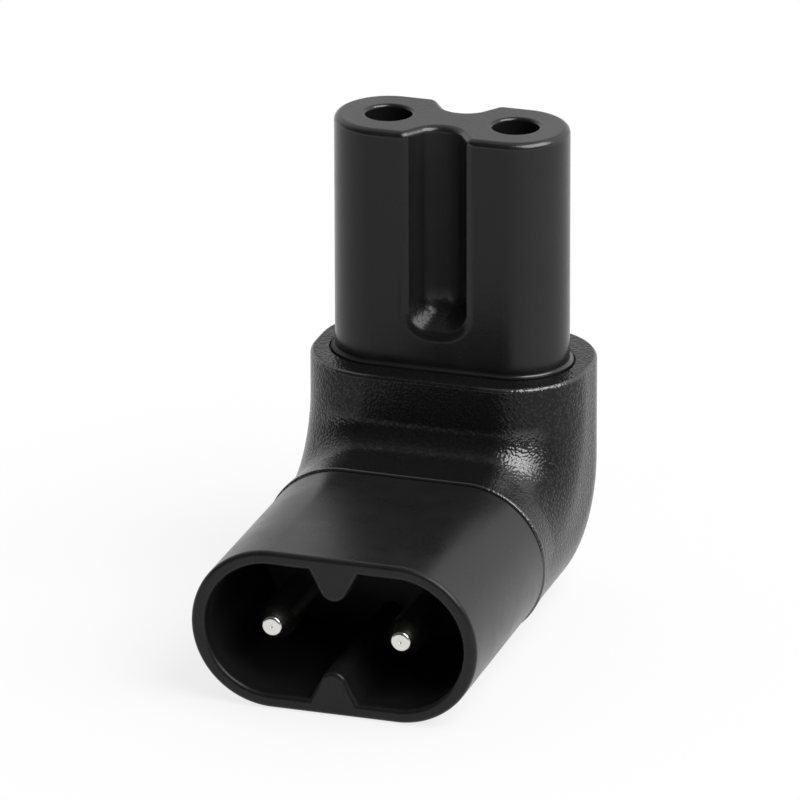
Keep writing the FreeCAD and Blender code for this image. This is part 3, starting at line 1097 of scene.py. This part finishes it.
@dataclass
class InletShroud:
    """The inlet end: a drafted shroud with two keys, a floor and a tail."""

    layout: Layout
    rim_radius: float = 5.36
    heel_radius: float = 5.27
    rim_round: float = 0.34
    mouth_round: float = 0.34
    heel_round: float = 0.2
    key_base: float = 3.3
    key_tip: float = 1.1
    key_gap: float = 4.75
    key_round: float = 0.5
    pin_hole_radius: float = 1.42
    seat_radius: float = 1.92
    seat_depth: float = 1.5
    spare: float = 1.0

    def key_cutter(self, up: int) -> Blank:
        """Model the ridge that leaves one key standing in the core.

        Args:
            up: 1 for the upper key, -1 for the lower.

        Returns:
            A tapered bar with a rounded tip.
        """
        place = self.layout
        inner = place.cavity_radius
        slope = (self.key_base - self.key_tip) / 2 / (inner - self.key_gap / 2)
        base_half = self.key_base / 2 + slope * self.spare
        tip_half = self.key_tip / 2
        tip_z = place.pin_z + up * self.key_gap / 2
        base_z = place.pin_z + up * (inner + self.spare)
        low_z, high_z = sorted((tip_z, base_z))
        front, rear = place.rim_y - 2 * self.spare, place.floor_y + self.spare
        ridge = Blank.block("key_cutter", (-base_half, front, low_z), (base_half, rear, high_z))
        tip = on_plane(Axis.Z, tip_z)
        ridge.scale(tip, (tip_half / base_half, 1.0, 1.0), (0.0, 0.0, tip_z))
        ends = either(on_plane(Axis.Y, front), on_plane(Axis.Y, rear))
        ridge.round(every(tip, outside(ends)), self.key_round, Strips.KEY)
        return ridge

    def build(self) -> bpy.types.Object:
        """Model the shroud.

        Returns:
            The finished piece.
        """
        place = self.layout
        front, seam, tail = place.rim_y, place.seam_y, place.shroud_tail_y
        rim, heel = on_plane(Axis.Y, front), on_plane(Axis.Y, seam)
        shroud = shroud_bar(place, "shroud_moulding", self.rim_radius, front, seam, Sides.SHROUD)
        draw = self.heel_radius / self.rim_radius
        for side in Side:
            lobe = (side.value * place.shroud_pitch / 2, seam, place.pin_z)
            half = every(heel, past_plane(Axis.X, 0.0, side.value))
            shroud.scale(half, (draw, 1.0, draw), lobe)
        shroud.round(heel, self.heel_round, Strips.SMALL)
        shroud.round(rim, self.rim_round, Strips.EDGE)
        shroud.join(shroud_bar(place, "tail", place.shroud_tail_radius, seam - self.spare, tail))
        flange_y = tail - place.shroud_flange_length
        shroud.join(shroud_bar(place, "flange", place.shroud_flange_radius, flange_y, tail))
        core = shroud_bar(
            place, "core", place.cavity_radius, front - self.spare, place.floor_y, Sides.SHROUD
        )
        for up in (-1, 1):
            core.cut(self.key_cutter(up))
        shroud.cut(core)
        centre = (0.0, front, place.pin_z)
        cavity = within_stadium(Axis.Y, centre, place.cavity_radius, place.shroud_pitch)
        shroud.round(every(rim, cavity), self.mouth_round, Strips.MOUTH)
        bores = [
            (self.pin_hole_radius, place.floor_y - self.spare),
            (self.seat_radius, tail - self.seat_depth),
        ]
        for side in Side:
            for radius, start in bores:
                shroud.cut(pin_bar(place, side, radius, start, tail + self.spare))
        return shroud.finish()

    def dress(self, material: bpy.types.Material) -> None:
        """Build the shroud and give it its finish."""
        seat(self.build(), "inlet_shroud", material)


@dataclass
class InletPin:
    """One turned pin of the inlet, from its tapered end to its cup."""

    layout: Layout
    side: Side
    radius: float = 1.2
    recess: float = 0.6
    tip_radius: float = 0.7
    tip_round: float = 0.25
    taper_length: float = 1.2
    root_radius: float = 1.4
    collar_radius: float = 1.9
    collar_length: float = 1.48
    cup_length: float = 2.6
    cup_depth: float = 2.2
    cup_radius: float = 0.57
    mark_radius: float = 0.09
    mark_depth: float = 0.06
    mark_taper: float = 0.3

    def profile(self) -> list[tuple[float, float]]:
        """Radius and place of each step behind the pin's end, front to back."""
        place = self.layout
        tail = place.shroud_tail_y
        return [
            (self.tip_radius, place.rim_y + self.recess + self.tip_round),
            (self.radius, place.rim_y + self.recess + self.taper_length),
            (self.radius, place.floor_y),
            (self.root_radius, place.floor_y),
            (self.root_radius, tail - self.collar_length),
            (self.collar_radius, tail - self.collar_length),
            (self.collar_radius, tail),
            (self.radius, tail),
            (self.radius, tail + self.cup_length),
            (self.cup_radius, tail + self.cup_length),
            (self.cup_radius, tail + self.cup_length - self.cup_depth),
        ]

    def build(self) -> bpy.types.Object:
        """Model the pin by drawing its steps out of a disc.

        Returns:
            The finished piece.
        """
        place = self.layout
        tip_y = place.rim_y + self.recess
        axis = (place.pole(self.side), tip_y, place.pin_z)
        (last_radius, last_y), *steps = self.profile()
        rear, tip = on_plane(Axis.Y, last_y), on_plane(Axis.Y, tip_y)
        pin = pin_bar(place, self.side, self.tip_radius, tip_y, last_y)
        moves = []
        for radius, y in steps:
            moves.append(((0.0, y - last_y, 0.0), radius / last_radius))
            last_radius, last_y = radius, y
        pin.draw_out(rear, moves, axis)
        pin.face_outwards()
        pin.round(tip, self.tip_round - NEAR, Strips.FLOOR)
        narrow = self.mark_radius / (self.tip_radius - self.tip_round)
        sunk = (0.0, self.mark_depth, 0.0)
        pin.draw_out(tip, [((0.0, 0.0, 0.0), narrow), (sunk, self.mark_taper)], axis)
        return pin.finish()

    def dress(self, material: bpy.types.Material) -> None:
        """Build the pin and give it its finish."""
        seat(self.build(), f"inlet_pin_{self.side.word}", material)


@dataclass
class Elbow:
    """The soft elbow that holds both inserts."""

    layout: Layout
    width: float = 18.6
    top_z: float = 10.75
    seam_width: float = 19.0
    seam_top_z: float = 10.82
    side_round: float = 5.2
    bend_round: float = 8.5
    inner_round: float = 2.0
    shoulder_round: float = 0.28
    seam_edge_round: float = 0.18
    mouth_round: float = 0.1
    groove_gap: float = 0.1
    fit: float = 0.02
    cup_radius: float = 1.25
    channel_radius: float = 1.05
    spare: float = 0.5

    def build(self) -> bpy.types.Object:
        """Model the elbow: an L-shaped block, rounded, with an arm drawn to the seam.

        Returns:
            The finished piece.
        """
        place = self.layout
        half = self.width / 2
        elbow = Blank.block(
            "elbow_moulding", (-half, place.seam_y, 0.0), (half, place.back_y, self.top_z)
        )
        elbow.split(Axis.Y, place.collar_y)
        behind = past_plane(Axis.Y, place.collar_y - LOOSE)
        top = on_plane(Axis.Z, self.top_z)
        elbow.extrude(every(top, behind), (0.0, 0.0, place.shoulder_z - self.top_z))
        elbow.tidy()
        heel = every(on_plane(Axis.Y, place.back_y), on_plane(Axis.Z, 0.0))
        elbow.round(heel, self.bend_round, Strips.BEND)
        crook = every(on_plane(Axis.Y, place.collar_y), on_plane(Axis.Z, self.top_z))
        elbow.round(crook, self.inner_round, Strips.CORNER)
        sides = either(on_plane(Axis.X, -half), on_plane(Axis.X, half))
        shoulder, seam = on_plane(Axis.Z, place.shoulder_z), on_plane(Axis.Y, place.seam_y)
        ends = either(shoulder, seam)
        elbow.round(every(sides, outside(ends)), self.side_round, Strips.SIDE)
        elbow.split(Axis.Y, place.joint_y)
        flare = (self.seam_width / self.width, 1.0, self.seam_top_z / self.top_z)
        elbow.scale(seam, flare, (0.0, place.seam_y, 0.0))
        elbow.round(seam, self.seam_edge_round, Strips.SMALL)
        elbow.round(shoulder, self.shoulder_round, Strips.EDGE)
        self.hollow(elbow)
        return elbow.finish()

    def hollow(self, elbow: Blank) -> None:
        """Cut the pockets that hold the tails of the nose and of the shroud.

        Args:
            elbow: The rounded elbow.
        """
        place = self.layout
        shoulder, tail_z, tail_y = place.shoulder_z, place.nose_tail_z, place.shroud_tail_y
        above = shoulder + self.spare
        flange_z = tail_z + place.nose_flange_height
        flange_y = tail_y - place.shroud_flange_length
        for radius, low, high in (
            (place.nose_radius + self.fit, tail_z, above),
            (place.nose_foot_radius + self.groove_gap, shoulder - place.nose_foot_depth, above),
            (place.nose_flange_radius + self.fit, tail_z - self.fit, flange_z + self.fit),
        ):
            elbow.cut(nose_bar(place, "nose_pocket", radius, low, high))
        inner = self.width / 2 - self.spare
        mouth = every(
            on_plane(Axis.Z, shoulder),
            between(Axis.X, -inner, inner),
            between(Axis.Y, place.collar_y + self.spare, place.back_y - self.spare),
        )
        elbow.round(mouth, self.mouth_round, Strips.SMALL)
        for radius, front, rear in (
            (place.shroud_tail_radius + self.fit, place.seam_y - self.spare, tail_y - self.spare),
            (place.shroud_flange_radius + self.fit, flange_y - self.fit, tail_y + self.fit),
        ):
            elbow.cut(shroud_bar(place, "shroud_pocket", radius, front, rear))
        front, rear = tail_y - self.spare, place.nose_y + self.channel_radius
        low, high = place.pin_z - self.channel_radius, tail_z + self.spare
        for side in Side:
            elbow.cut(pin_bar(place, side, self.cup_radius, front, rear, Sides.CHANNEL))
            elbow.cut(hole_bar(place, side, self.channel_radius, low, high, Sides.CHANNEL))

    def dress(self, material: bpy.types.Material) -> None:
        """Build the elbow and give it its finish."""
        seat(self.build(), "elbow_overmould", material)


# Studio


@dataclass(frozen=True)
class Lamp:
    """A soft rectangular lamp."""

    name: str
    place: Vec3
    aim: Vec3
    width: float
    height: float
    watts: float

    def light(self) -> None:
        """Hang the lamp and turn it to its aim."""
        data = bpy.data.lights.new(self.name, "AREA")
        data.shape = "RECTANGLE"
        data.size, data.size_y, data.energy = self.width, self.height, self.watts
        lamp = bpy.data.objects.new(self.name, data)
        bpy.context.scene.collection.objects.link(lamp)
        lamp.location = self.place
        lamp.rotation_mode = "QUATERNION"
        way = Vector(self.aim) - Vector(self.place)
        lamp.rotation_quaternion = way.to_track_quat("-Z", "Y")


@dataclass(frozen=True)
class Studio:
    """A pale floor in a bright room that is darker behind the camera."""

    floor_size: float = 3.0
    floor_dark: Vec3 = (0.82, 0.82, 0.82)
    floor_light: Vec3 = (0.84, 0.84, 0.84)
    floor_cloud: float = 0.4
    floor_roughness: float = 0.9
    floor_glow: float = 0.8
    shadow_fall: Span = (0.05 / 3, 0.05)
    back_level: float = 0.9
    front_level: float = 0.05
    back_rise: Span = (-0.6, 0.65)
    lamps: tuple[Lamp, ...] = (
        Lamp(
            "key",
            place=(0.365, -0.124, 0.46),
            aim=(0.0, 0.0, 0.012),
            width=0.56,
            height=0.46,
            watts=4.1,
        ),
    )

    def floor(self) -> None:
        """Lay the floor: it looks white, but for a faint shadow near the part."""
        bpy.ops.mesh.primitive_plane_add(size=self.floor_size)
        floor = bpy.context.object
        floor.name = "studio_floor"
        material, sheet = new_sheet("studio_floor")
        place = sheet.place()
        cloud = sheet.noise(place, self.floor_cloud)
        pale = sheet.tint(cloud, self.floor_dark, self.floor_light)
        board = sheet.coat({"Base Color": pale, "Roughness": self.floor_roughness})
        white = sheet.add("ShaderNodeEmission", None, {"Color": WHITE, "Strength": 1.0})
        camera, glossy, transmitted = (
            sheet.add("ShaderNodeLightPath", output=f"Is {kind} Ray")
            for kind in ("Camera", "Glossy", "Transmission")
        )
        x, y, _ = sheet.parts(place)
        away = reach(x, y).step(*self.shadow_fall)
        glow = self.floor_glow + (1 - self.floor_glow) * away
        sheet.surface(sheet.blend((camera + glossy + transmitted) * glow, board, white))
        floor.data.materials.append(material)

    def room(self) -> None:
        """Fill the room with light from the back, the sides and above."""
        world = bpy.data.worlds.new("studio_room")
        bpy.context.scene.world = world
        world.use_nodes = True
        sheet = Sheet(world.node_tree)
        _, y, _ = sheet.parts(sheet.add("ShaderNodeTexCoord", output="Generated"))
        rise = y.step(*self.back_rise)
        level = self.front_level + (self.back_level - self.front_level) * rise
        glow = sheet.add("ShaderNodeBackground", None, {"Color": WHITE, "Strength": level})
        sheet.add("ShaderNodeOutputWorld", None, {"Surface": glow})

    def set_up(self) -> None:
        """Build the studio."""
        self.floor()
        self.room()
        for lamp in self.lamps:
            lamp.light()
        bpy.context.scene.view_settings.view_transform = "Standard"


@dataclass(frozen=True)
class PortraitCamera:
    """A long lens above and to the right of the inlet."""

    aim: Vec3 = (-0.001735, 0.003714, 0.014178)
    azimuth: float = 17.91
    elevation: float = 21.33
    roll: float = -0.149
    distance: float = 0.713617
    lens: float = 496.44
    sensor: float = 36.0
    clip: Span = (0.01, 20.0)

    def set_up(self) -> None:
        """Place the camera and make it the scene's."""
        angles = (self.azimuth, self.elevation, self.roll)
        turn, lift, lean = (math.radians(angle) for angle in angles)
        flat = math.cos(lift)
        back = Vector((math.sin(turn) * flat, -math.cos(turn) * flat, math.sin(lift)))
        level = Vector((math.cos(turn), math.sin(turn), 0.0))
        upright = back.cross(level)
        right = math.cos(lean) * level + math.sin(lean) * upright
        up = math.cos(lean) * upright - math.sin(lean) * level
        data = bpy.data.cameras.new("portrait_camera")
        data.sensor_width, data.lens = self.sensor, self.lens
        data.clip_start, data.clip_end = self.clip
        camera = bpy.data.objects.new("portrait_camera", data)
        bpy.context.scene.collection.objects.link(camera)
        turned = Matrix((right, up, back)).transposed().to_4x4()
        place = Vector(self.aim) + back * self.distance
        camera.matrix_world = Matrix.Translation(place) @ turned
        bpy.context.scene.camera = camera


def main() -> None:
    """Load the frame, build and dress every piece, and set the studio and the camera."""
    logging.basicConfig(level=logging.INFO, format="%(name)s: %(message)s")
    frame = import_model()
    layout = Layout()
    vinyl = PebbledVinyl().material(layout)
    plastic = SatinPlastic().material(layout)
    SocketNose(layout).dress(plastic)
    InletShroud(layout).dress(plastic)
    Elbow(layout).dress(vinyl)
    nickel, brass, copper = (metal.material(layout) for metal in (NICKEL, BRASS, COPPER))
    for side in Side:
        InletPin(layout, side).dress(nickel)
        for stem, material in (("socket_contact_", brass), ("link_wire_", copper)):
            node = frame["nodes"][stem + side.word]
            node.data.materials.clear()
            node.data.materials.append(material)
    Studio().set_up()
    PortraitCamera().set_up()


if __name__ == "__main__":
    main()
